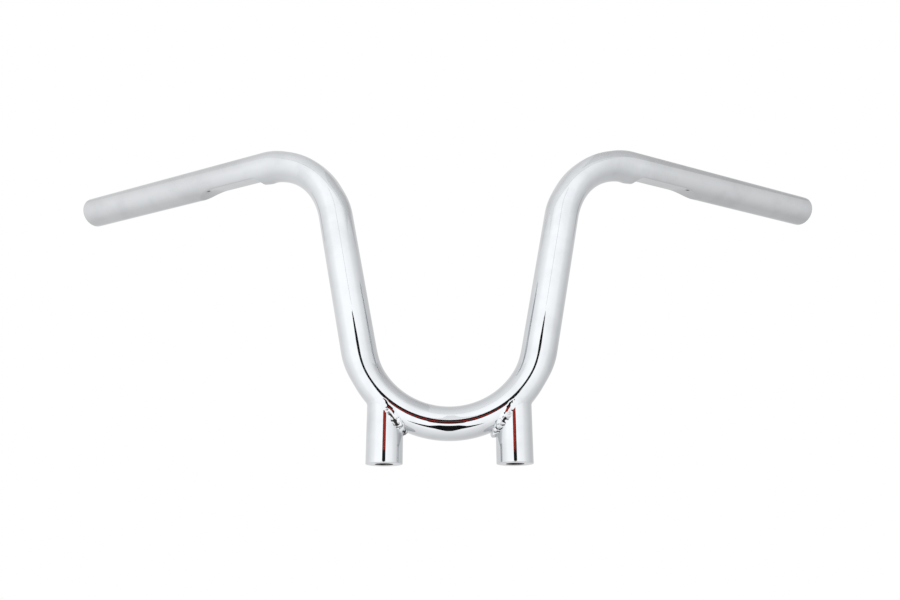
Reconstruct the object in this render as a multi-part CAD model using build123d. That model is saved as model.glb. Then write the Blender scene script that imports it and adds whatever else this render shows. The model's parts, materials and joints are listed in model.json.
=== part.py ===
"""One-piece motorcycle handlebar with two built-in risers, in millimetres.

The origin is midway between the bottom faces of the two risers.  +Z runs up along
the risers, +Y points back towards the rider and +X to the rider's left.
"""

import math
import os

from build123d import *

# Tube: one length of one-inch steel tube with an eighth-inch wall, press-bent cold
TUBE_OD = 25.4
TUBE_WALL = 3.05
BEND_RADIUS = 65.5
LEG_LEAN = 11.3
LEG_STRAIGHT = 106.5
PULLBACK = 25.5
GRIP_STRAIGHT = 196.0
RIM_ROUNDING = 2.8

# Wiring indent pressed into the underside of each grip: steep at the bend, shallow
# towards the tube's end, and turned a little to the rear
INDENT_DEPTH = 5.2
INDENT_START = 4.5
INDENT_END = 70.0
INDENT_STEEP_RADIUS = 6.0
INDENT_SHALLOW_RADIUS = 40.0
INDENT_TURN = 20.0
INDENT_TOOL_WIDTH = 40.0

# Risers: solid round bar, coped to the tube and tapped 1/2-13 from below
RISER_SPACING = 88.9
RISER_OD = 25.2
RISER_DROP = 44.5
RISER_EDGE_BREAK = 0.4
TAP_DRILL = 10.72
THREAD_MAJOR = 12.7
THREAD_DEPTH = 20.0
DRILL_POINT_ANGLE = 118.0

# Weld bead laid round the top of each riser: a small fillet on the outer side, a large
# one in the tight corner on the inner side, rippled by its puddles
BEAD_PUDDLES = 36
BEAD_LEG_SMALL = 2.0
BEAD_LEG_LARGE = 4.2
BEAD_CROWN_SMALL = 0.4
BEAD_CROWN_LARGE = 0.8
BEAD_RIPPLE = 0.3
SEAM_STEP = 0.001

tube_radius = TUBE_OD / 2
bore_radius = tube_radius - TUBE_WALL
riser_radius = RISER_OD / 2
riser_x = RISER_SPACING / 2

# The bottom bend's centre lies above the risers, so that the tube's middle passes
# RISER_DROP above the riser's bottom face on the riser's own axis
bend_centre = Vector(0, 0, RISER_DROP + math.sqrt(BEND_RADIUS**2 - riser_x**2))


def bar_corners():
    """The corners of the left half of the bar's centre line, before bending."""
    lean = math.radians(LEG_LEAN)
    sweep = math.radians(PULLBACK)
    up_the_leg = Vector(math.sin(lean), 0, math.cos(lean))
    along_the_grip = Vector(math.cos(sweep), math.sin(sweep), 0)
    bottom_turn = math.pi - 2 * lean
    upper_turn = math.radians(up_the_leg.get_angle(along_the_grip))
    below = BEND_RADIUS * math.tan(bottom_turn / 2)
    above = BEND_RADIUS * math.tan(upper_turn / 2)
    apex = bend_centre - Vector(0, 0, BEND_RADIUS / math.cos(bottom_turn / 2))
    shoulder = apex + up_the_leg * (below + LEG_STRAIGHT + above)
    grip_start = shoulder + along_the_grip * above
    grip_end = grip_start + along_the_grip * GRIP_STRAIGHT
    return apex, shoulder, grip_start, grip_end, along_the_grip


def mirrored(point):
    return Vector(-point.X, point.Y, point.Z)


def centre_line():
    apex, shoulder, _, grip_end, _ = bar_corners()
    corners = [mirrored(grip_end), mirrored(shoulder), apex, shoulder, grip_end]
    return FilletPolyline(*corners, radius=BEND_RADIUS)


def round_bar(path, radius):
    start = Plane(origin=path @ 0, z_dir=path % 0)
    return sweep(start * Circle(radius), path=path)


def indent_tool(skin):
    """The press tool; skin thickens it by the tube's wall for the inner surface."""
    _, _, grip_start, _, along_the_grip = bar_corners()
    floor = tube_radius - INDENT_DEPTH - skin
    steep = INDENT_STEEP_RADIUS + skin
    shallow = INDENT_SHALLOW_RADIUS + skin
    rise = shallow - INDENT_DEPTH
    inner_end = INDENT_START - skin
    outer_end = INDENT_END + skin + shallow - math.sqrt(shallow**2 - rise**2)
    top = floor + shallow + 1
    corners = [(inner_end, top), (inner_end, floor), (outer_end, floor), (outer_end, top)]
    sole = FilletPolyline(*corners, radius=[steep, shallow])
    back = Line(sole @ 1, sole @ 0)
    turn = math.radians(INDENT_TURN)
    level_back = Vector(0, 0, 1).cross(along_the_grip)
    pressed_from = level_back * math.sin(turn) - Vector(0, 0, math.cos(turn))
    side = Plane(
        origin=grip_start, x_dir=along_the_grip, z_dir=along_the_grip.cross(pressed_from)
    )
    return extrude(side * make_face([sole, back]), INDENT_TOOL_WIDTH / 2, both=True)


def indented(bar, skin):
    tool = indent_tool(skin)
    return bar - tool - tool.mirror(Plane.YZ)


def make_tube(path):
    outside = round_bar(path, tube_radius)
    rims = outside.faces().filter_by(GeomType.PLANE).edges()
    outside = fillet(rims, RIM_ROUNDING)
    bore = round_bar(path, bore_radius)
    return indented(outside, 0) - indented(bore, TUBE_WALL)


def make_riser(envelope, x):
    bar = Cylinder(riser_radius, RISER_DROP, align=(Align.CENTER, Align.CENTER, Align.MIN))
    bar = chamfer(bar.edges().sort_by(Axis.Z)[0], RISER_EDGE_BREAK)
    mouth = (THREAD_MAJOR - TAP_DRILL) / 2
    drill_radius = TAP_DRILL / 2
    point = drill_radius / math.tan(math.radians(DRILL_POINT_ANGLE / 2))
    profile = Polyline(
        (0, 0), (drill_radius + mouth, 0), (drill_radius, mouth),
        (drill_radius, THREAD_DEPTH), (0, THREAD_DEPTH + point), close=True,
    )
    hole = revolve(Plane.XZ * make_face(profile), Axis.Z)
    return Pos(x, 0, 0) * (bar - hole) - envelope


def tube_normal(point):
    """The way out of the tube's bottom bend at a point near its surface."""
    spoke = Vector(point.X, 0, point.Z - bend_centre.Z).normalized()
    return (point - bend_centre - spoke * BEND_RADIUS).normalized()


def riser_normal(point):
    return Vector(point.X - riser_x, point.Y, 0).normalized()


def onto_tube(point):
    spoke = Vector(point.X, 0, point.Z - bend_centre.Z).normalized()
    return bend_centre + spoke * BEND_RADIUS + tube_normal(point) * tube_radius


def onto_riser(point):
    return Vector(riser_x, 0, point.Z) + riser_normal(point) * riser_radius


def seam_point(angle):
    """Where riser and tube meet; angle runs round the riser from its outer side."""
    x = riser_x + riser_radius * math.cos(angle)
    y = riser_radius * math.sin(angle)
    ring = BEND_RADIUS + math.sqrt(tube_radius**2 - y**2)
    return Vector(x, y, bend_centre.Z - math.sqrt(ring**2 - x**2))


def bead_section(angle, ripple):
    """Root, riser toe, two crown points and tube toe of the weld at one place."""
    root = seam_point(angle)
    along = (seam_point(angle + SEAM_STEP) - seam_point(angle - SEAM_STEP)).normalized()
    out_of_riser = riser_normal(root)
    out_of_tube = tube_normal(root)
    inner_side = ((1 - math.cos(angle)) / 2) ** 2
    leg = BEAD_LEG_SMALL + (BEAD_LEG_LARGE - BEAD_LEG_SMALL) * inner_side
    crown = BEAD_CROWN_LARGE - (BEAD_CROWN_LARGE - BEAD_CROWN_SMALL) * inner_side + ripple
    riser_toe = onto_riser(root + along.cross(out_of_riser) * leg)
    tube_toe = onto_tube(root - along.cross(out_of_tube) * leg)
    lift = (out_of_riser + out_of_tube).normalized() * crown
    span = tube_toe - riser_toe
    return [root, riser_toe, riser_toe + span / 3 + lift, riser_toe + span * 2 / 3 + lift, tube_toe]


def triangle(a, b, c):
    return Face(Wire.make_polygon([a, b, c], close=True))


def make_bead(envelope):
    stations = 2 * BEAD_PUDDLES
    sections = [
        bead_section(2 * math.pi * i / stations, BEAD_RIPPLE * (i % 2)) for i in range(stations)
    ]
    faces = []
    for i, here in enumerate(sections):
        there = sections[(i + 1) % stations]
        for j, corner in enumerate(here):
            k = (j + 1) % len(here)
            faces.append(triangle(corner, here[k], there[k]))
            faces.append(triangle(corner, there[k], there[j]))
    column = Pos(riser_x, 0, 0) * Cylinder(
        riser_radius, 2 * RISER_DROP, align=(Align.CENTER, Align.CENTER, Align.MIN)
    )
    return Solid(Shell(faces)) - column - envelope


path = centre_line()
envelope = round_bar(path, tube_radius)
left_bead = make_bead(envelope)
nodes = {
    "handlebar_tube": make_tube(path),
    "left_riser": make_riser(envelope, riser_x),
    "right_riser": make_riser(envelope, -riser_x),
    "left_weld_bead": left_bead,
    "right_weld_bead": left_bead.mirror(Plane.YZ),
}

os.makedirs("parts", exist_ok=True)
for name, shape in nodes.items():
    box = shape.bounding_box()
    print(name, len(shape.solids()), "solid", round(shape.volume / 1000, 2), "cc", box.min, box.max)
    export_step(shape, f"parts/{name}.step")
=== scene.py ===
"""Chromed one-piece motorcycle handlebar with built-in risers: its looks, in metres.

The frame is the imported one: the origin is midway between the bottom faces of the
risers, +Z runs up along them and +Y points back towards the rider.
"""

import json
import math

import bpy
from mathutils import Matrix, Quaternion, Vector, noise


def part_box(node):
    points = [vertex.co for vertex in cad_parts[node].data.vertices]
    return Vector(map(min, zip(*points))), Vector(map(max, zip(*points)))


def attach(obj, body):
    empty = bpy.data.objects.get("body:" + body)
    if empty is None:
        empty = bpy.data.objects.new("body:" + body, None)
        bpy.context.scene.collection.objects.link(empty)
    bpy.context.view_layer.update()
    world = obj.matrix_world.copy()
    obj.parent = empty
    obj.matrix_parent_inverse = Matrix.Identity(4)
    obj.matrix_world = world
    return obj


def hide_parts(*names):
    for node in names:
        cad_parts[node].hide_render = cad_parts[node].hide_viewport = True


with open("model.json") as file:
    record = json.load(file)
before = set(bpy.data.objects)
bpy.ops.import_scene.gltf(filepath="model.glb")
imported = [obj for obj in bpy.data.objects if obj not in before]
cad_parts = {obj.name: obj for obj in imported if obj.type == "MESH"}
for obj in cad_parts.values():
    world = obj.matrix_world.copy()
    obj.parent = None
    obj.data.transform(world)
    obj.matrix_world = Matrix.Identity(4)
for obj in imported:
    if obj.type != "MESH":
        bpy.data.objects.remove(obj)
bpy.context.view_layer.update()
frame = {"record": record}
mounts = {mount["name"]: mount for mount in frame["record"]["mounts"]}

# ---------------------------------------------------------------------------
# The bar.  One length of one-inch steel tube with an eighth-inch wall, bent cold in a
# press into a U, two leaning legs and two grips swept back to the rider.  The outer wall
# of each bend sinks to a flat.  The ends are cut square and rounded off.
# ---------------------------------------------------------------------------
TUBE_RADIUS = mounts["left_grip_seat"]["dims"]["r_mm"] / 1000
TUBE_WALL = 0.00305
BEND_RADIUS = 0.0655
LEG_LEAN = math.radians(11.3)
LEG_STRAIGHT = 0.1065
GRIP_STRAIGHT = 0.196
RIM_ROUNDING = 0.0028
BEND_SINK = 0.0020
OUTER_FLATTENING = 0.11
BOTTOM_SETTLE = 0.0007
BEND_SPREAD = 0.02
FLAT_EDGE = 0.0012
SQUEEZE_RUN_IN = math.radians(20)
FACETS_ROUND_TUBE = 120
BEND_STEP = math.radians(1.8)
STRAIGHT_STEP = 0.005
BORE_STEP = 5

# The wiring indent under each grip, pressed in with a flat tool whose inboard end is
# steep and whose outboard end runs out in a long slope
INDENT_DEPTH = 0.0052
INDENT_START = 0.0045
INDENT_END = 0.070
INDENT_STEEP_RADIUS = 0.006
INDENT_SHALLOW_RADIUS = 0.040
INDENT_TURN = math.radians(20)
INDENT_EDGE = 0.0005
INDENT_LIP = 0.0007
LIP_AT = -0.0015
LIP_REACH = 0.0045
LIP_TAPER = 6
NICK_AT = 0.0585
NICK_DEPTH = 0.0011
NICK_REACH = 0.0016
# the nick's edges, as shares of the tube's radius: towards the front and downwards
NICK_REAR_EDGE = (0.16, 0.32)
NICK_FRONT_EDGE = (0.52, 0.66)
NICK_UPPER_EDGE = (0.5, 0.7)
INDENT_FINE_STEP = 0.0004
INDENT_COARSE_STEP = 0.0011

riser_x = mounts["left_riser_thread"]["pos_m"][0]
tube_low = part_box("handlebar_tube")[0]
bend_centre = Vector((0, 0, tube_low.z + TUBE_RADIUS + BEND_RADIUS))
along_grip = Vector(mounts["left_grip_seat"]["axis"]).normalized()
up_leg = Vector((math.sin(LEG_LEAN), 0, math.cos(LEG_LEAN)))
upper_turn_axis = up_leg.cross(along_grip).normalized()
bottom_turn = math.pi / 2 - LEG_LEAN
upper_turn = up_leg.angle(along_grip)


def smooth_step(low, high, value):
    share = min(1.0, max(0.0, (value - low) / (high - low)))
    return share * share * (3 - 2 * share)


def squeeze_at(turned, whole_turn):
    """How far into a bend a place is, from 0 at its ends to 1 in its middle."""
    return smooth_step(0, SQUEEZE_RUN_IN, min(turned, whole_turn - turned))


class Station:
    """One place along the bar: its centre, its cross-section's axes and its bend."""

    def __init__(self, centre, front, side, outward, squeeze, along_from_bend):
        self.centre = centre
        self.front = front
        self.side = side
        self.outward = outward
        self.squeeze = squeeze
        self.along_from_bend = along_from_bend


def grip_distances():
    """Places along a grip: close together where the indent's ends curve."""
    places = []
    distance = STRAIGHT_STEP / 2
    while distance < GRIP_STRAIGHT - RIM_ROUNDING - STRAIGHT_STEP / 2:
        places.append(distance)
        if INDENT_START - 0.001 < distance < INDENT_START + INDENT_STEEP_RADIUS:
            distance += INDENT_FINE_STEP
        elif abs(distance - NICK_AT) < 2.5 * NICK_REACH:
            distance += INDENT_FINE_STEP
        elif distance < INDENT_END + 0.003:
            distance += INDENT_COARSE_STEP
        else:
            distance += STRAIGHT_STEP
    places.append(GRIP_STRAIGHT - RIM_ROUNDING)
    return places


def left_half_stations():
    """The bar's left half, from the middle of the U to where the rim's rounding starts."""
    stations = []
    front = Vector((0, -1, 0))
    steps = round(bottom_turn / BEND_STEP)
    for i in range(steps + 1):
        turned = bottom_turn * i / steps
        spoke = Vector((math.sin(turned), 0, -math.cos(turned)))
        # the U is one bend from leg to leg, so its squeeze runs out only at its top
        squeeze = squeeze_at(bottom_turn + turned, 2 * bottom_turn)
        centre = bend_centre + spoke * BEND_RADIUS
        stations.append(Station(centre, front, spoke, spoke, squeeze, None))
    leg_foot = stations[-1].centre
    leg_side = stations[-1].side
    steps = round(LEG_STRAIGHT / STRAIGHT_STEP)
    for i in range(1, steps + 1):
        centre = leg_foot + up_leg * (LEG_STRAIGHT * i / steps)
        stations.append(Station(centre, front, leg_side, leg_side, 0, None))
    leg_top = stations[-1].centre
    inward = (along_grip - up_leg * along_grip.dot(up_leg)).normalized()
    pivot = leg_top + inward * BEND_RADIUS
    steps = round(upper_turn / BEND_STEP)
    for i in range(1, steps + 1):
        turned = upper_turn * i / steps
        turn = Matrix.Rotation(turned, 3, upper_turn_axis)
        centre = pivot - (turn @ inward) * BEND_RADIUS
        squeeze = squeeze_at(turned, upper_turn)
        stations.append(
            Station(
                centre, turn @ front, turn @ leg_side, -(turn @ inward), squeeze,
                (turned - upper_turn) * BEND_RADIUS,
            )
        )
    last = stations[-1]
    for distance in grip_distances():
        centre = last.centre + along_grip * distance
        stations.append(Station(centre, last.front, last.side, last.outward, 0, distance))
    return stations


def indent_floor(distance, skin):
    """Height of the press tool's face over the tube's middle, at a place on the grip."""
    floor = TUBE_RADIUS - INDENT_DEPTH - skin
    steep = INDENT_STEEP_RADIUS + skin
    shallow = INDENT_SHALLOW_RADIUS + skin
    rise = shallow - INDENT_DEPTH
    inner_end = INDENT_START - skin
    outer_end = INDENT_END + skin + shallow - math.sqrt(shallow**2 - rise**2)
    if distance < inner_end + steep:
        reach = min(steep, inner_end + steep - distance)
        past = max(0.0, inner_end - distance)
        return floor + steep - math.sqrt(steep**2 - reach**2) + past
    reach = min(shallow, max(0.0, distance - (outer_end - shallow)))
    return floor + shallow - math.sqrt(shallow**2 - reach**2)


def softer_minimum(a, b, width):
    """The smaller of two heights, with the corner between them rounded off."""
    blend = max(width - abs(a - b), 0.0) / width
    return min(a, b) - blend * blend * width / 4


level_back = Vector((0, 0, 1)).cross(along_grip)
pressed_from = (
    level_back * math.sin(INDENT_TURN) - Vector((0, 0, 1)) * math.cos(INDENT_TURN)
).normalized()
towards_front = pressed_from.cross(along_grip)


def sunk_wall(across, squeeze, skin):
    """Where a point of a bend's section lies, outwards of the bar's centre line."""
    if across > 0:
        across *= 1 - OUTER_FLATTENING * squeeze
    flat = TUBE_RADIUS - skin - BEND_SINK * squeeze + FLAT_EDGE * (1 - squeeze)
    return softer_minimum(across, flat, FLAT_EDGE)


def nick_at(station, offset):
    """How deep the nick is in the indent's slope: 1 in its middle and 0 outside it."""
    if station.along_from_bend is None:
        return 0.0
    along = (station.along_from_bend - NICK_AT) / NICK_REACH
    forwards = offset.dot(towards_front) / TUBE_RADIUS
    downwards = offset.dot(pressed_from) / TUBE_RADIUS
    depth = math.exp(-(along**2)) * smooth_step(*NICK_UPPER_EDGE, downwards)
    return depth * smooth_step(*NICK_REAR_EDGE, forwards) * (1 - smooth_step(*NICK_FRONT_EDGE, forwards))


def tube_point(station, angle, radius, skin):
    """A point of the tube's outer face, or of its bore when skin is the wall."""
    arm = station.front * math.cos(angle) + station.side * math.sin(angle)
    offset = arm * radius
    if station.squeeze:
        across = offset.dot(station.outward)
        wall = sunk_wall(across, station.squeeze, skin)
        if station.along_from_bend is None:
            wall += BOTTOM_SETTLE * station.squeeze
        offset += station.outward * (wall - across)
        plane_normal = station.outward.cross(station.front.cross(station.side))
        over = offset.dot(plane_normal)
        offset += plane_normal * (over * BEND_SPREAD * station.squeeze)
    if station.along_from_bend is not None:
        height = offset.dot(pressed_from)
        floor = indent_floor(station.along_from_bend, skin)
        pressed = softer_minimum(height, floor, INDENT_EDGE)
        # metal pushed aside by the tool's steep end stands up as a lip before it
        reach = (station.along_from_bend - LIP_AT) / LIP_REACH
        lip = INDENT_LIP * math.exp(-(reach**2)) * max(0.0, height / radius) ** LIP_TAPER
        # and its outer corner leaves a small nick in the slope's front half
        nick = NICK_DEPTH * nick_at(station, offset)
        offset += pressed_from * (pressed - height + lip - nick)
    return station.centre + offset


def ring_of_points(station, radius, skin):
    angles = [2 * math.pi * k / FACETS_ROUND_TUBE for k in range(FACETS_ROUND_TUBE)]
    return [tube_point(station, angle, radius, skin) for angle in angles]


def ring_of_nicks(station):
    angles = [2 * math.pi * k / FACETS_ROUND_TUBE for k in range(FACETS_ROUND_TUBE)]
    arms = [station.front * math.cos(a) + station.side * math.sin(a) for a in angles]
    return [nick_at(station, arm * TUBE_RADIUS) for arm in arms]


def rim_rings(last):
    """The rounded rim at a grip's end, from the outer face round to the bore."""
    rings = []
    inner_radius = TUBE_RADIUS - TUBE_WALL
    for i in range(1, 9):
        round_by = math.pi / 2 * i / 8
        radius = TUBE_RADIUS - RIM_ROUNDING * (1 - math.cos(round_by))
        rings.append((radius, RIM_ROUNDING * math.sin(round_by)))
    rings.append((inner_radius + 0.0001, RIM_ROUNDING - 0.00002))
    rings.append((inner_radius, RIM_ROUNDING - 0.00015))
    rings.append((inner_radius, RIM_ROUNDING - 0.0006))
    made = []
    for radius, along in rings:
        station = Station(
            last.centre + along_grip * along, last.front, last.side, last.outward, 0, None
        )
        made.append(ring_of_points(station, radius, 0))
    return made


def mirror_x(points):
    return [Vector((-p.x, p.y, p.z)) for p in points]


def bridge(rings, closed):
    """Quads between neighbouring rings of points, and back to the first if closed."""
    count = len(rings[0])
    faces = []
    last = len(rings) if closed else len(rings) - 1
    for i in range(last):
        here = i * count
        there = ((i + 1) % len(rings)) * count
        for k in range(count):
            n = (k + 1) % count
            faces.append((here + k, here + n, there + n, there + k))
    return faces


def new_piece(name, points, faces, materials, face_materials):
    """A smooth-shaded mesh object with its normals pointing out of the solid."""
    mesh = bpy.data.meshes.new(name)
    mesh.from_pydata([tuple(p) for p in points], [], faces)
    for material in materials:
        mesh.materials.append(material)
    mesh.polygons.foreach_set("material_index", face_materials)
    mesh.polygons.foreach_set("use_smooth", [True] * len(faces))
    mesh.update()
    piece = bpy.data.objects.new(name, mesh)
    bpy.context.scene.collection.objects.link(piece)
    return piece


def group_with(name, inputs, outputs):
    """An empty shader node group with named inputs (with defaults) and outputs."""
    group = bpy.data.node_groups.new(name, "ShaderNodeTree")
    for label, kind, value in inputs:
        socket = group.interface.new_socket(label, in_out="INPUT", socket_type=kind)
        if value is not None:
            socket.default_value = value
    for label, kind in outputs:
        group.interface.new_socket(label, in_out="OUTPUT", socket_type=kind)
    return group, group.nodes.new("NodeGroupInput"), group.nodes.new("NodeGroupOutput")


CLEAN_PLATE = (0.605, 0.622, 0.642, 1)
HAZY_PLATE = (0.56, 0.576, 0.595, 1)
DULLED_PLATE = (0.86, 0.855, 0.85, 1)
# near-black for grooves: painted shade in the nick and the weld's hollows, and in the weld's pits also
# real stain
GROOVE_STAIN_AND_PAINTED_SHADE = (0.03, 0.026, 0.026, 1)
DULLING_FROM = 0.10
DULLING_TO = 0.20


def plating_group():
    """Bright plate: faint orange peel, hazy patches and a fine grit left by the buff."""
    group, given, result = group_with(
        "plating",
        [
            ("Vector", "NodeSocketVector", None),
            ("Haze", "NodeSocketFloat", 0.03),
            ("Peel", "NodeSocketFloat", 0.1),
            ("Clean", "NodeSocketColor", CLEAN_PLATE),
            ("Hazy", "NodeSocketColor", HAZY_PLATE),
        ],
        [
            ("Colour", "NodeSocketColor"),
            ("Roughness", "NodeSocketFloat"),
            ("Normal", "NodeSocketVector"),
        ],
    )
    nodes, links = group.nodes, group.links
    patches = nodes.new("ShaderNodeTexNoise")
    patches.inputs["Scale"].default_value = 38
    patches.inputs["Detail"].default_value = 4
    patches.inputs["Roughness"].default_value = 0.6
    links.new(given.outputs["Vector"], patches.inputs["Vector"])
    hazy = nodes.new("ShaderNodeMapRange")
    hazy.interpolation_type = "SMOOTHSTEP"
    hazy.inputs["From Min"].default_value = 0.42
    hazy.inputs["From Max"].default_value = 0.68
    links.new(patches.outputs["Fac"], hazy.inputs["Value"])
    grit = nodes.new("ShaderNodeTexNoise")
    grit.inputs["Scale"].default_value = 1400
    grit.inputs["Detail"].default_value = 2
    links.new(given.outputs["Vector"], grit.inputs["Vector"])
    mottle = nodes.new("ShaderNodeMath")
    mottle.operation = "MULTIPLY_ADD"
    mottle.inputs[1].default_value = 0.5
    links.new(grit.outputs["Fac"], mottle.inputs[0])
    links.new(hazy.outputs["Result"], mottle.inputs[2])
    rough = nodes.new("ShaderNodeMath")
    rough.operation = "MULTIPLY_ADD"
    rough.inputs[2].default_value = 0.018
    links.new(mottle.outputs[0], rough.inputs[0])
    links.new(given.outputs["Haze"], rough.inputs[1])
    links.new(rough.outputs[0], result.inputs["Roughness"])
    colour = nodes.new("ShaderNodeMix")
    colour.data_type = "RGBA"
    links.new(hazy.outputs["Result"], colour.inputs["Factor"])
    links.new(given.outputs["Clean"], colour.inputs["A"])
    links.new(given.outputs["Hazy"], colour.inputs["B"])
    links.new(colour.outputs["Result"], result.inputs["Colour"])
    peel = nodes.new("ShaderNodeTexNoise")
    peel.inputs["Scale"].default_value = 210
    peel.inputs["Detail"].default_value = 1.5
    links.new(given.outputs["Vector"], peel.inputs["Vector"])
    bump = nodes.new("ShaderNodeBump")
    bump.inputs["Distance"].default_value = 0.00006
    links.new(given.outputs["Peel"], bump.inputs["Strength"])
    links.new(peel.outputs["Fac"], bump.inputs["Height"])
    links.new(bump.outputs["Normal"], result.inputs["Normal"])
    return group


plating = plating_group()


def metal(name):
    """A new fully metallic material: its node tree and its shader."""
    material = bpy.data.materials.new(name)
    material.use_nodes = True
    shader = material.node_tree.nodes["Principled BSDF"]
    shader.inputs["Metallic"].default_value = 1.0
    return material, shader


def chrome(name, haze, peel):
    """Plated steel; the plate thins and dulls towards the ends of the bar."""
    material, shader = metal(name)
    nodes, links = material.node_tree.nodes, material.node_tree.links
    place = nodes.new("ShaderNodeTexCoord")
    plate = nodes.new("ShaderNodeGroup")
    plate.node_tree = plating
    plate.inputs["Haze"].default_value = haze
    plate.inputs["Peel"].default_value = peel
    links.new(place.outputs["Object"], plate.inputs["Vector"])
    apart = nodes.new("ShaderNodeSeparateXYZ")
    links.new(place.outputs["Object"], apart.inputs["Vector"])
    from_middle = nodes.new("ShaderNodeMath")
    from_middle.operation = "ABSOLUTE"
    links.new(apart.outputs["X"], from_middle.inputs[0])
    dulling = nodes.new("ShaderNodeMapRange")
    dulling.interpolation_type = "SMOOTHSTEP"
    dulling.inputs["From Min"].default_value = DULLING_FROM
    dulling.inputs["From Max"].default_value = DULLING_TO
    links.new(from_middle.outputs[0], dulling.inputs["Value"])
    dulled = nodes.new("ShaderNodeMix")
    dulled.data_type = "RGBA"
    dulled.blend_type = "MULTIPLY"
    dulled.inputs["B"].default_value = DULLED_PLATE
    links.new(dulling.outputs["Result"], dulled.inputs["Factor"])
    links.new(plate.outputs["Colour"], dulled.inputs["A"])
    links.new(dulled.outputs["Result"], shader.inputs["Base Color"])
    links.new(plate.outputs["Roughness"], shader.inputs["Roughness"])
    links.new(plate.outputs["Normal"], shader.inputs["Normal"])
    return material


def stain_and_paint_shade_in_grooves(material, shallow, deep):
    """Darkens the plate wherever the mesh marks a deep enough groove: painted shade in the hollows, and
    in the weld's pits also stain where the plate is thin.
    """
    nodes, links = material.node_tree.nodes, material.node_tree.links
    shader = nodes["Principled BSDF"]
    groove = nodes.new("ShaderNodeAttribute")
    groove.attribute_name = "groove"
    depth = nodes.new("ShaderNodeMapRange")
    depth.interpolation_type = "SMOOTHSTEP"
    depth.inputs["From Min"].default_value = shallow
    depth.inputs["From Max"].default_value = deep
    links.new(groove.outputs["Fac"], depth.inputs["Value"])
    stained_and_painted_shade = nodes.new("ShaderNodeMix")
    stained_and_painted_shade.data_type = "RGBA"
    stained_and_painted_shade.inputs["B"].default_value = GROOVE_STAIN_AND_PAINTED_SHADE
    links.new(depth.outputs["Result"], stained_and_painted_shade.inputs["Factor"])
    links.new(shader.inputs["Base Color"].links[0].from_socket, stained_and_painted_shade.inputs["A"])
    links.new(stained_and_painted_shade.outputs["Result"], shader.inputs["Base Color"])


def mark_grooves(piece, depths):
    attribute = piece.data.attributes.new("groove", "FLOAT", "POINT")
    attribute.data.foreach_set("value", depths)


def bare_steel(name, dark, light, grain):
    """Unplated steel inside a bore: dull grey, with brown stain in patches."""
    material, shader = metal(name)
    nodes, links = material.node_tree.nodes, material.node_tree.links
    place = nodes.new("ShaderNodeTexCoord")
    stain = nodes.new("ShaderNodeTexNoise")
    stain.inputs["Scale"].default_value = grain
    stain.inputs["Detail"].default_value = 6
    links.new(place.outputs["Object"], stain.inputs["Vector"])
    ramp = nodes.new("ShaderNodeValToRGB")
    ramp.color_ramp.elements[0].position = 0.35
    ramp.color_ramp.elements[0].color = dark
    ramp.color_ramp.elements[1].position = 0.7
    ramp.color_ramp.elements[1].color = light
    links.new(stain.outputs["Fac"], ramp.inputs["Fac"])
    links.new(ramp.outputs["Color"], shader.inputs["Base Color"])
    rough = nodes.new("ShaderNodeMapRange")
    rough.inputs["To Min"].default_value = 0.6
    rough.inputs["To Max"].default_value = 0.35
    links.new(stain.outputs["Fac"], rough.inputs["Value"])
    links.new(rough.outputs["Result"], shader.inputs["Roughness"])
    bump = nodes.new("ShaderNodeBump")
    bump.inputs["Distance"].default_value = 0.0001
    bump.inputs["Strength"].default_value = 0.6
    links.new(stain.outputs["Fac"], bump.inputs["Height"])
    links.new(bump.outputs["Normal"], shader.inputs["Normal"])
    return material


tube_chrome = chrome("tube_chrome", haze=0.02, peel=0.1)
# on the bar the only groove is the nick in the indent's slope, darkened as painted shade
stain_and_paint_shade_in_grooves(tube_chrome, 0.45, 0.95)
bore_steel = bare_steel("bore_steel", (0.05, 0.043, 0.04, 1), (0.19, 0.18, 0.17, 1), 160)


def make_bar():
    half = left_half_stations()
    outer = [ring_of_points(s, TUBE_RADIUS, 0) for s in half] + rim_rings(half[-1])
    # the bore takes every fifth ring of the outside, so it is coarser than the outside, though least so
    # along the indent
    bore_stations = [
        s for i, s in enumerate(half) if i % BORE_STEP == 0 and i < len(half) - 1
    ]
    bore = [ring_of_points(s, TUBE_RADIUS - TUBE_WALL, TUBE_WALL) for s in bore_stations]
    right_outer = [mirror_x(ring) for ring in outer[:0:-1]]
    right_bore = [mirror_x(ring) for ring in bore[1:]]
    rings = right_outer + outer + bore[::-1] + right_bore
    plated = len(right_outer) + len(outer) - 1
    faces = bridge(rings, closed=True)
    inside = len(rings) - 1 - plated
    per_ring = FACETS_ROUND_TUBE
    face_materials = [0] * (plated * per_ring) + [1] * (inside * per_ring)
    # the last strip joins the bore to the right rim's inner edge
    face_materials += [1] * per_ring
    points = [p for ring in rings for p in ring]
    piece = new_piece("bar", points, faces, [tube_chrome, bore_steel], face_materials)
    # the nick's depth marks where the bar's painted shade goes
    left_nicks = [ring_of_nicks(s) for s in half] + [[0.0] * per_ring] * (len(outer) - len(half))
    nicks = [depth for ring in left_nicks[:0:-1] + left_nicks for depth in ring]
    mark_grooves(piece, nicks + [0.0] * (len(points) - len(nicks)))
    return piece


bar = make_bar()
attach(bar, "root")
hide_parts("handlebar_tube")

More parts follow.
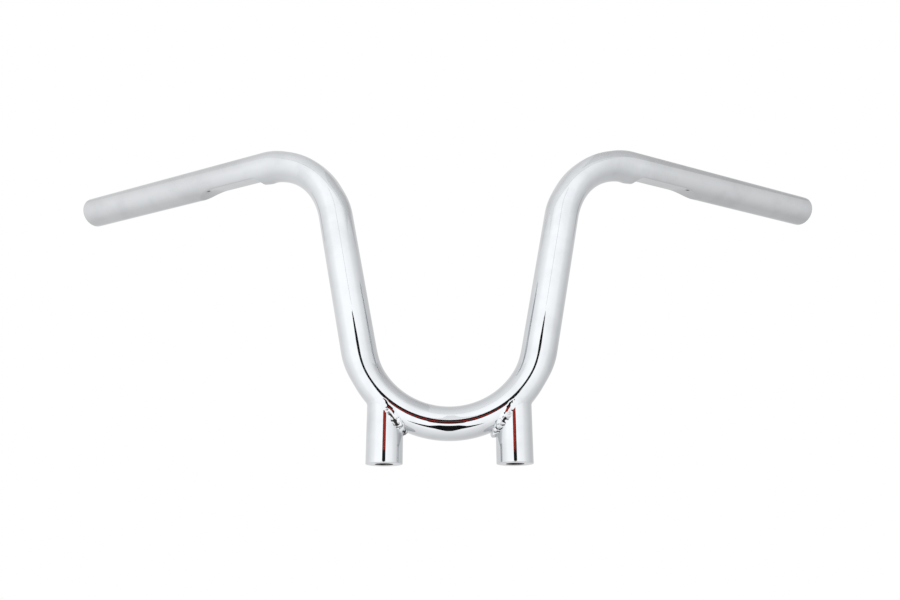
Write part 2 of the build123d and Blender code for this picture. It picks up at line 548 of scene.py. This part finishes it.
# ---------------------------------------------------------------------------
# The risers.  Two lengths of one-inch steel bar stand square to the fork, coped at the
# top to sit against the U.  Each is drilled and tapped from below to take a half-inch
# coarse bolt, and its bottom edges are just broken.
# ---------------------------------------------------------------------------
RISER_RADIUS = riser_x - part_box("left_riser")[0].x
RISER_EDGE_BREAK = 0.0004
RISER_INTO_TUBE = 0.0004
THREAD_MAJOR = 0.00635
THREAD_MINOR = mounts["left_riser_thread"]["dims"]["r_mm"] / 1000
THREAD_PITCH = 0.0254 / 13
THREAD_DEPTH = 0.020
THREAD_FLANK_SLOPE = 2.6
THREAD_CREST_FLAT = 0.25
ROWS_PER_TURN = 14
DRILL_POINT = math.radians(118)
FACETS_ROUND_RISER = 96


def under_tube(x, y):
    """Height of the bar's underside over a point between the risers' outer sides."""
    share = y / (TUBE_RADIUS * (1 + BEND_SPREAD))
    across = TUBE_RADIUS * math.sqrt(max(0.0, 1 - share**2))
    ring = BEND_RADIUS + sunk_wall(across, 1, 0) + BOTTOM_SETTLE
    return bend_centre.z - math.sqrt(ring**2 - x**2)


def thread_radius(height, angle):
    """A sixty-degree thread with flats, ground away by the lead-in at its mouth."""
    turn = (height / THREAD_PITCH + angle / (2 * math.pi)) % 1.0
    groove = min(1.0, max(0.0, abs(turn - 0.5) * THREAD_FLANK_SLOPE - THREAD_CREST_FLAT))
    lead_in = THREAD_MAJOR - height
    return max(THREAD_MINOR + (THREAD_MAJOR - THREAD_MINOR) * groove, lead_in)


def riser_points(side):
    """Rings from the coped top down the outside, across the foot and up the thread."""
    x0 = side * riser_x
    turns = [2 * math.pi * k / FACETS_ROUND_RISER for k in range(FACETS_ROUND_RISER)]

    def level(radius, height):
        return [
            Vector((x0 + radius * math.cos(a), radius * math.sin(a), height)) for a in turns
        ]

    def coped(radius):
        ring = level(radius, 0)
        for p in ring:
            p.z = under_tube(p.x, p.y) + RISER_INTO_TUBE
        return ring

    rings = [coped(RISER_RADIUS * share) for share in (0.02, 0.2, 0.4, 0.6, 0.75, 0.88, 0.96, 1)]
    top = rings[-1]
    for share in (0.97, 0.9, 0.75, 0.6, 0.45, 0.3, 0.15, 0.05, 0.01):
        wall = level(RISER_RADIUS, 0)
        for p, q in zip(wall, top):
            p.z = RISER_EDGE_BREAK + (q.z - RISER_EDGE_BREAK) * share
        rings.append(wall)
    for share in (0, 0.25, 0.5, 0.75, 1):
        round_by = math.pi / 2 * share
        inset = RISER_EDGE_BREAK * (1 - math.cos(round_by))
        rings.append(level(RISER_RADIUS - inset, RISER_EDGE_BREAK * (1 - math.sin(round_by))))
    foot = len(rings)
    rings.append(level(THREAD_MAJOR + 0.0002, 0))
    rings.append(level(THREAD_MAJOR, 0.00005))
    rows = round(THREAD_DEPTH / THREAD_PITCH * ROWS_PER_TURN)
    for i in range(1, rows + 1):
        height = THREAD_DEPTH * i / rows
        ring = level(1, height)
        for p, a in zip(ring, turns):
            radius = thread_radius(height, a)
            p.x = x0 + radius * math.cos(a)
            p.y = radius * math.sin(a)
        rings.append(ring)
    for share in (0.9, 0.5, 0.1, 0.01):
        radius = THREAD_MINOR * share
        rise = (THREAD_MINOR - radius) / math.tan(DRILL_POINT / 2)
        rings.append(level(radius, THREAD_DEPTH + rise))
    return rings, foot


riser_chrome = chrome("riser_chrome", haze=0.014, peel=0.05)
thread_steel = bare_steel("thread_steel", (0.03, 0.027, 0.025, 1), (0.15, 0.14, 0.13, 1), 420)


def make_riser(name, side):
    rings, foot = riser_points(side)
    points = [p for ring in rings for p in ring]
    faces = [face[::-1] for face in bridge(rings, closed=False)]
    face_materials = [0] * ((foot + 1) * FACETS_ROUND_RISER)
    face_materials += [1] * (len(faces) - len(face_materials))
    count = FACETS_ROUND_RISER
    faces.append(tuple(range(count)))
    face_materials.append(0)
    last = len(points) - count
    faces.append(tuple(last + k for k in reversed(range(count))))
    face_materials.append(1)
    return new_piece(name, points, faces, [riser_chrome, thread_steel], face_materials)


for side, name in ((1, "left_riser"), (-1, "right_riser")):
    riser = make_riser(name + "_post", side)
    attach(riser, "root")
    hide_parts(name)

# ---------------------------------------------------------------------------
# The welds.  A bead is run by hand round the top of each riser: hardly raised on the
# outer side, where riser and tube meet flush, smooth in front, and a thick lumpy fillet
# in the tight inner corner.  It is chromed over as it was laid, without grinding.
# ---------------------------------------------------------------------------
PUDDLE_PITCH = 0.0034
PUDDLE_BOW = 0.9
BEAD_LEG_SMALL = 0.0012
BEAD_LEG_LARGE = 0.0038
BEAD_CROWN_SMALL = 0.0001
BEAD_CROWN_LARGE = 0.0006
RIPPLE_HEIGHT = 0.0006
LUMP_HEIGHT = 0.0022
LUMP_GRAIN = 175
TOE_SINK = 0.0002
TOE_WANDER = 0.3
ROOT_DEPTH = 0.0012
# how far round from the riser's outer side the bead widens, swells and turns lumpy
WIDENING = (math.radians(35), math.radians(95))
SWELLING = (math.radians(62), math.radians(92))
LUMPS_FROM = math.radians(94)
LUMPS_LATER_ON_TUBE = math.radians(24)
LUMPS_RUN_IN = math.radians(26)
NORMAL_STEP = 0.0001
SEAM_STEP = 0.001
PLACES_ROUND_BEAD = 540
POINTS_ACROSS_BEAD = 22


def seam_point(angle):
    """Where riser and tube meet; angle runs round the left riser from its outer side."""
    x = riser_x + RISER_RADIUS * math.cos(angle)
    y = RISER_RADIUS * math.sin(angle)
    return Vector((x, y, under_tube(x, y)))


def tube_normal(x, y):
    """The way out of the bar's underside, from the slopes of its height."""
    along_x = under_tube(x + NORMAL_STEP, y) - under_tube(x - NORMAL_STEP, y)
    along_y = under_tube(x, y + NORMAL_STEP) - under_tube(x, y - NORMAL_STEP)
    return Vector((along_x, along_y, -2 * NORMAL_STEP)).normalized()


def onto_tube(point):
    """The nearest place on the bar's bottom bend, measured across its section."""
    spoke = Vector((point.x, 0, point.z - bend_centre.z))
    across = spoke.length - BEND_RADIUS - BOTTOM_SETTLE
    over = point.y / (1 + BEND_SPREAD)
    scale = TUBE_RADIUS / math.hypot(across, over)
    ring = BEND_RADIUS + sunk_wall(across * scale, 1, 0) + BOTTOM_SETTLE
    return bend_centre + spoke.normalized() * ring + Vector((0, point.y * scale, 0))


def onto_riser(point):
    out = Vector((point.x - riser_x, point.y, 0)).normalized()
    return Vector((riser_x, 0, point.z)) + out * RISER_RADIUS


def bead_rings(side):
    """Cross-sections of one weld from riser toe to tube toe, and how hollow each place is."""
    rings, grooves = [], []
    arc = 0.0
    before = seam_point(0)
    for i in range(PLACES_ROUND_BEAD):
        angle = 2 * math.pi * i / PLACES_ROUND_BEAD
        root = seam_point(angle)
        arc += (root - before).length
        before = root
        along = (seam_point(angle + SEAM_STEP) - seam_point(angle - SEAM_STEP)).normalized()
        out_of_riser = Vector((root.x - riser_x, root.y, 0)).normalized()
        out_of_tube = tube_normal(root.x, root.y)
        from_outer = min(angle, 2 * math.pi - angle)
        widened = smooth_step(*WIDENING, from_outer)
        swollen = smooth_step(*SWELLING, from_outer)
        leg = BEAD_LEG_SMALL + (BEAD_LEG_LARGE - BEAD_LEG_SMALL) * widened
        crown = BEAD_CROWN_SMALL + (BEAD_CROWN_LARGE - BEAD_CROWN_SMALL) * swollen
        wander = noise.noise(Vector((math.cos(angle), math.sin(angle), side * 3)) * 4)
        riser_leg = leg * (1 + TOE_WANDER * wander)
        tube_leg = leg * (1 - TOE_WANDER * wander)
        riser_toe = onto_riser(root + along.cross(out_of_riser) * riser_leg)
        tube_toe = onto_tube(root - along.cross(out_of_tube) * tube_leg)
        lift = (out_of_riser + out_of_tube).normalized()
        riser_toe -= out_of_riser * TOE_SINK
        tube_toe -= out_of_tube * TOE_SINK
        ring = []
        for k in range(POINTS_ACROSS_BEAD):
            share = k / (POINTS_ACROSS_BEAD - 1)
            arch = 4 * share * (1 - share)
            # the bead is smooth in front, and turns lumpy later along the tube than the riser
            lumps_from = LUMPS_FROM + LUMPS_LATER_ON_TUBE * smooth_step(0.3, 0.7, share)
            lumpy = smooth_step(0, LUMPS_RUN_IN, from_outer - lumps_from)
            # each puddle's edge is bowed, so the ripples run across the bead in arcs
            puddle = arc / PUDDLE_PITCH + PUDDLE_BOW * arch + 1.2 * wander
            ripple = 1 - abs(2 * (puddle % 1.0) - 1) ** 2.2
            spot = riser_toe.lerp(tube_toe, share)
            lump = noise.fractal(spot * LUMP_GRAIN + Vector((side * 7, 0, 0)), 1.0, 2.6, 2)
            hollow = 0.55 - 0.5 * ripple - 0.9 * lump
            # how hollow a place is sets how dark the plate goes there: painted shade, with some real
            # stain in the pits
            grooves.append(max(0.0, hollow) * arch**0.3 * lumpy**2)
            raised = crown * arch
            raised += RIPPLE_HEIGHT * (ripple - 0.5) * arch**0.6 * (0.04 + 0.96 * lumpy)
            raised += LUMP_HEIGHT * lump * arch**0.7 * (0.03 + 0.97 * lumpy)
            ring.append(spot + lift * raised)
        ring.append(root - lift * ROOT_DEPTH)
        grooves.append(0.0)
        rings.append(ring)
    return rings, grooves


weld_chrome = chrome("weld_chrome", haze=0.03, peel=0.3)
# the weld's hollows go dark: painted shade between its lumps and ripples, with some real stain in its
# pits
stain_and_paint_shade_in_grooves(weld_chrome, 0.25, 0.42)


def make_bead(name, side):
    rings, grooves = bead_rings(side)
    points = [p for ring in rings for p in ring]
    if side < 0:
        points = mirror_x(points)
    faces = bridge(rings, closed=True)
    if side > 0:
        faces = [face[::-1] for face in faces]
    piece = new_piece(name, points, faces, [weld_chrome], [0] * len(faces))
    mark_grooves(piece, grooves)
    return piece


for side, name in ((1, "left_weld_bead"), (-1, "right_weld_bead")):
    bead = make_bead(name + "_run", side)
    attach(bead, "root")
    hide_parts(name)

# ---------------------------------------------------------------------------
# The studio.  A pale floor well below the bar and white all round it.  The plate mirrors
# a white room, brightest in front, with dark flags, two coloured cards and thin gauze
# hung in front of the bar and over it, which draw its dark lines and its grey bands.
# ---------------------------------------------------------------------------
FLOOR_DROP = 0.30
FLOOR_SIZE = 5.0
FLOOR_COLOUR = (0.86, 0.86, 0.85, 1)
FADE_FROM = 0.9
FADE_TO = 3.2
BRIGHTEST = 1.6
SIDE_LEAN = -0.13
TOP_LEAN = 0.02
DIFFUSE_LEVEL = 0.62
CARD_Y = -1.5

world = bpy.data.worlds.new("studio")
bpy.context.scene.world = world
world.use_nodes = True
nodes, links = world.node_tree.nodes, world.node_tree.links
nodes.clear()


def lean_along(value, amount):
    """A straight ramp from minus to plus an amount, as a direction's part runs -1 to 1."""
    ramp = nodes.new("ShaderNodeMath")
    ramp.operation = "MULTIPLY"
    ramp.inputs[1].default_value = amount
    links.new(value, ramp.inputs[0])
    return ramp.outputs[0]


def sum_of(a, b):
    add = nodes.new("ShaderNodeMath")
    add.operation = "ADD"
    links.new(a, add.inputs[0])
    links.new(b, add.inputs[1])
    return add.outputs[0]


# what the plate mirrors: white all round, brightest in front and falling off to the back
place = nodes.new("ShaderNodeTexCoord")
apart = nodes.new("ShaderNodeSeparateXYZ")
links.new(place.outputs["Generated"], apart.inputs["Vector"])
backward = nodes.new("ShaderNodeMapRange")
backward.inputs["From Min"].default_value = -1
links.new(apart.outputs["Y"], backward.inputs["Value"])
falloff = nodes.new("ShaderNodeValToRGB")
falloff.color_ramp.elements[0].color = (0.98, 0.98, 0.98, 1)
falloff.color_ramp.elements[1].color = (0.50, 0.50, 0.50, 1)
for position, level in ((0.18, 0.92), (0.30, 0.79), (0.55, 0.64), (0.68, 0.58), (0.85, 0.56)):
    falloff.color_ramp.elements.new(position).color = (level, level, level, 1)
links.new(backward.outputs["Result"], falloff.inputs["Fac"])
from_front = lean_along(falloff.outputs["Color"], BRIGHTEST)
sideways = lean_along(apart.outputs["X"], SIDE_LEAN)
upward = lean_along(apart.outputs["Z"], TOP_LEAN)
strength = sum_of(from_front, sum_of(sideways, upward))
mirrored = nodes.new("ShaderNodeBackground")
links.new(strength, mirrored.inputs["Strength"])
plain = nodes.new("ShaderNodeBackground")
plain.inputs["Strength"].default_value = DIFFUSE_LEVEL
white = nodes.new("ShaderNodeBackground")
white.inputs["Strength"].default_value = 1.0
for background in (mirrored, plain, white):
    background.inputs["Color"].default_value = (1, 1, 1, 1)
ray = nodes.new("ShaderNodeLightPath")
straight_on = nodes.new("ShaderNodeMath")
straight_on.operation = "MAXIMUM"
links.new(ray.outputs["Is Camera Ray"], straight_on.inputs[0])
links.new(ray.outputs["Is Transmission Ray"], straight_on.inputs[1])
seen = nodes.new("ShaderNodeMixShader")
links.new(ray.outputs["Is Glossy Ray"], seen.inputs["Fac"])
links.new(plain.outputs[0], seen.inputs[1])
links.new(mirrored.outputs[0], seen.inputs[2])
shown = nodes.new("ShaderNodeMixShader")
links.new(straight_on.outputs[0], shown.inputs["Fac"])
links.new(seen.outputs[0], shown.inputs[1])
links.new(white.outputs[0], shown.inputs[2])
output = nodes.new("ShaderNodeOutputWorld")
links.new(shown.outputs[0], output.inputs["Surface"])


def card(name, corners, material):
    mesh = bpy.data.meshes.new(name)
    mesh.from_pydata([tuple(c) for c in corners], [], [tuple(range(len(corners)))])
    mesh.materials.append(material)
    made = bpy.data.objects.new(name, mesh)
    bpy.context.scene.collection.objects.link(made)
    return made


def level_square(size, height):
    return [(-size, -size, height), (size, -size, height), (size, size, height), (-size, size, height)]


def upright(x_low, x_high, z_low, z_high, y):
    return [(x_low, y, z_low), (x_high, y, z_low), (x_high, y, z_high), (x_low, y, z_high)]


def overhead(x_low, x_high, y_low, y_high, z):
    return [(x_low, y_low, z), (x_low, y_high, z), (x_high, y_high, z), (x_high, y_low, z)]


floor_paint = bpy.data.materials.new("floor_paint")
floor_paint.use_nodes = True
nodes, links = floor_paint.node_tree.nodes, floor_paint.node_tree.links
paint = nodes["Principled BSDF"]
paint.inputs["Base Color"].default_value = FLOOR_COLOUR
paint.inputs["Roughness"].default_value = 0.9
paint.inputs["Specular IOR Level"].default_value = 0.0
place = nodes.new("ShaderNodeTexCoord")
away = nodes.new("ShaderNodeVectorMath")
away.operation = "LENGTH"
links.new(place.outputs["Object"], away.inputs[0])
fade = nodes.new("ShaderNodeMapRange")
fade.interpolation_type = "SMOOTHSTEP"
fade.inputs["From Min"].default_value = FADE_FROM
fade.inputs["From Max"].default_value = FADE_TO
links.new(away.outputs["Value"], fade.inputs["Value"])
into_white = nodes.new("ShaderNodeBsdfTransparent")
mixed = nodes.new("ShaderNodeMixShader")
links.new(fade.outputs["Result"], mixed.inputs["Fac"])
links.new(paint.outputs[0], mixed.inputs[1])
links.new(into_white.outputs[0], mixed.inputs[2])
links.new(mixed.outputs[0], nodes["Material Output"].inputs["Surface"])
floor = card("floor", level_square(FLOOR_SIZE, 0), floor_paint)
floor.location.z = -FLOOR_DROP
floor.visible_glossy = False


def cloth(name, colour):
    """A card's matt covering."""
    material = bpy.data.materials.new(name)
    material.use_nodes = True
    shader = material.node_tree.nodes["Principled BSDF"]
    shader.inputs["Base Color"].default_value = colour
    shader.inputs["Roughness"].default_value = 1.0
    shader.inputs["Specular IOR Level"].default_value = 0.0
    return material


black_cloth = cloth("black_cloth", (0.02, 0.02, 0.022, 1))
red_cloth = cloth("red_cloth", (0.55, 0.05, 0.035, 1))
brown_cloth = cloth("brown_cloth", (0.20, 0.06, 0.05, 1))


def gauze(name, density):
    """A thin grey cloth that takes away a share of the light behind it."""
    material = cloth(name, (0.25, 0.25, 0.26, 1))
    nodes, links = material.node_tree.nodes, material.node_tree.links
    thin = nodes.new("ShaderNodeMixShader")
    thin.inputs["Fac"].default_value = density
    open_weave = nodes.new("ShaderNodeBsdfTransparent")
    links.new(open_weave.outputs[0], thin.inputs[1])
    links.new(nodes["Principled BSDF"].outputs[0], thin.inputs[2])
    links.new(thin.outputs[0], nodes["Material Output"].inputs["Surface"])
    return material


thin_gauze = gauze("thin_gauze", 0.09)
thick_gauze = gauze("thick_gauze", 0.25)
side_gauze = gauze("side_gauze", 0.16)

# the flags' outlines, across and up, each as a list of corners
tall_flag = [
    (-0.16, -0.02), (0.14, -0.02), (0.27, 0.14), (0.25, 0.30), (0.16, 0.40), (0.23, 0.50),
    (0.11, 0.60), (0.03, 0.63), (-0.05, 0.63), (-0.15, 0.60), (-0.26, 0.50), (-0.18, 0.40),
    (-0.25, 0.30), (-0.27, 0.14),
]
foot_flag = [
    (-0.12, -2.7), (0.10, -2.7), (0.30, -1.7), (0.75, -1.35), (0.28, -0.95), (0.10, -0.52),
    (-0.10, -0.52), (-0.30, -0.95), (-0.95, -1.35), (-0.34, -1.7),
]
cards = [
    card("tall_flag", [(x, CARD_Y, z) for x, z in tall_flag], black_cloth),
    card("foot_flag", [(x, CARD_Y, z) for x, z in foot_flag], black_cloth),
    card("red_card", upright(-0.19, 0.15, 0.205, 0.34, CARD_Y + 0.01), red_cloth),
    card("brown_card", upright(-0.13, 0.10, -0.12, 0.0, CARD_Y + 0.01), brown_cloth),
    card("seam_strip", upright(-0.06, 0.04, 0.66, 1.9, CARD_Y), thick_gauze),
    card("ceiling_gauze", overhead(-1.8, 1.8, -0.85, 1.6, 1.60), thin_gauze),
    card("ceiling_bar", overhead(-1.8, 1.8, -0.90, -0.84, 1.59), thick_gauze),
    card("ceiling_side", overhead(0.25, 1.8, -0.60, 1.2, 1.58), side_gauze),
]
for flag in cards:
    flag.visible_camera = False
    flag.visible_shadow = False
    flag.visible_diffuse = False

key = bpy.data.lights.new("key", "AREA")
key.shape = "SQUARE"
key.size = 0.9
key.energy = 17
key_light = bpy.data.objects.new("key", key)
key_light.location = (-0.4, -0.5, 1.7)
towards_bar = Vector((0, 0, 0.1)) - key_light.location
key_light.rotation_euler = towards_bar.to_track_quat("-Z", "Y").to_euler()
key_light.visible_glossy = False
bpy.context.scene.collection.objects.link(key_light)

# ---------------------------------------------------------------------------
# The camera: in front of the bar, below the risers' feet, and tipped up to the legs.
# ---------------------------------------------------------------------------
CAMERA_AT = Vector((-0.0014, -0.5294, -0.0610))
CAMERA_PITCH = math.radians(18.63)
CAMERA_YAW = math.radians(-0.23)
CAMERA_ROLL = math.radians(-0.23)
LENS_MM = 30.74

camera_data = bpy.data.cameras.new("camera")
camera_data.lens = LENS_MM
camera_data.sensor_width = 36
camera_data.clip_start = 0.01
camera = bpy.data.objects.new("camera", camera_data)
camera.location = CAMERA_AT
camera.rotation_mode = "QUATERNION"
aim = Matrix.Rotation(CAMERA_YAW, 3, "Z") @ Matrix.Rotation(math.pi / 2 + CAMERA_PITCH, 3, "X")
camera.rotation_quaternion = aim.to_quaternion() @ Quaternion((0, 0, 1), CAMERA_ROLL)
bpy.context.scene.collection.objects.link(camera)
bpy.context.scene.camera = camera
bpy.context.scene.view_settings.view_transform = "Standard"
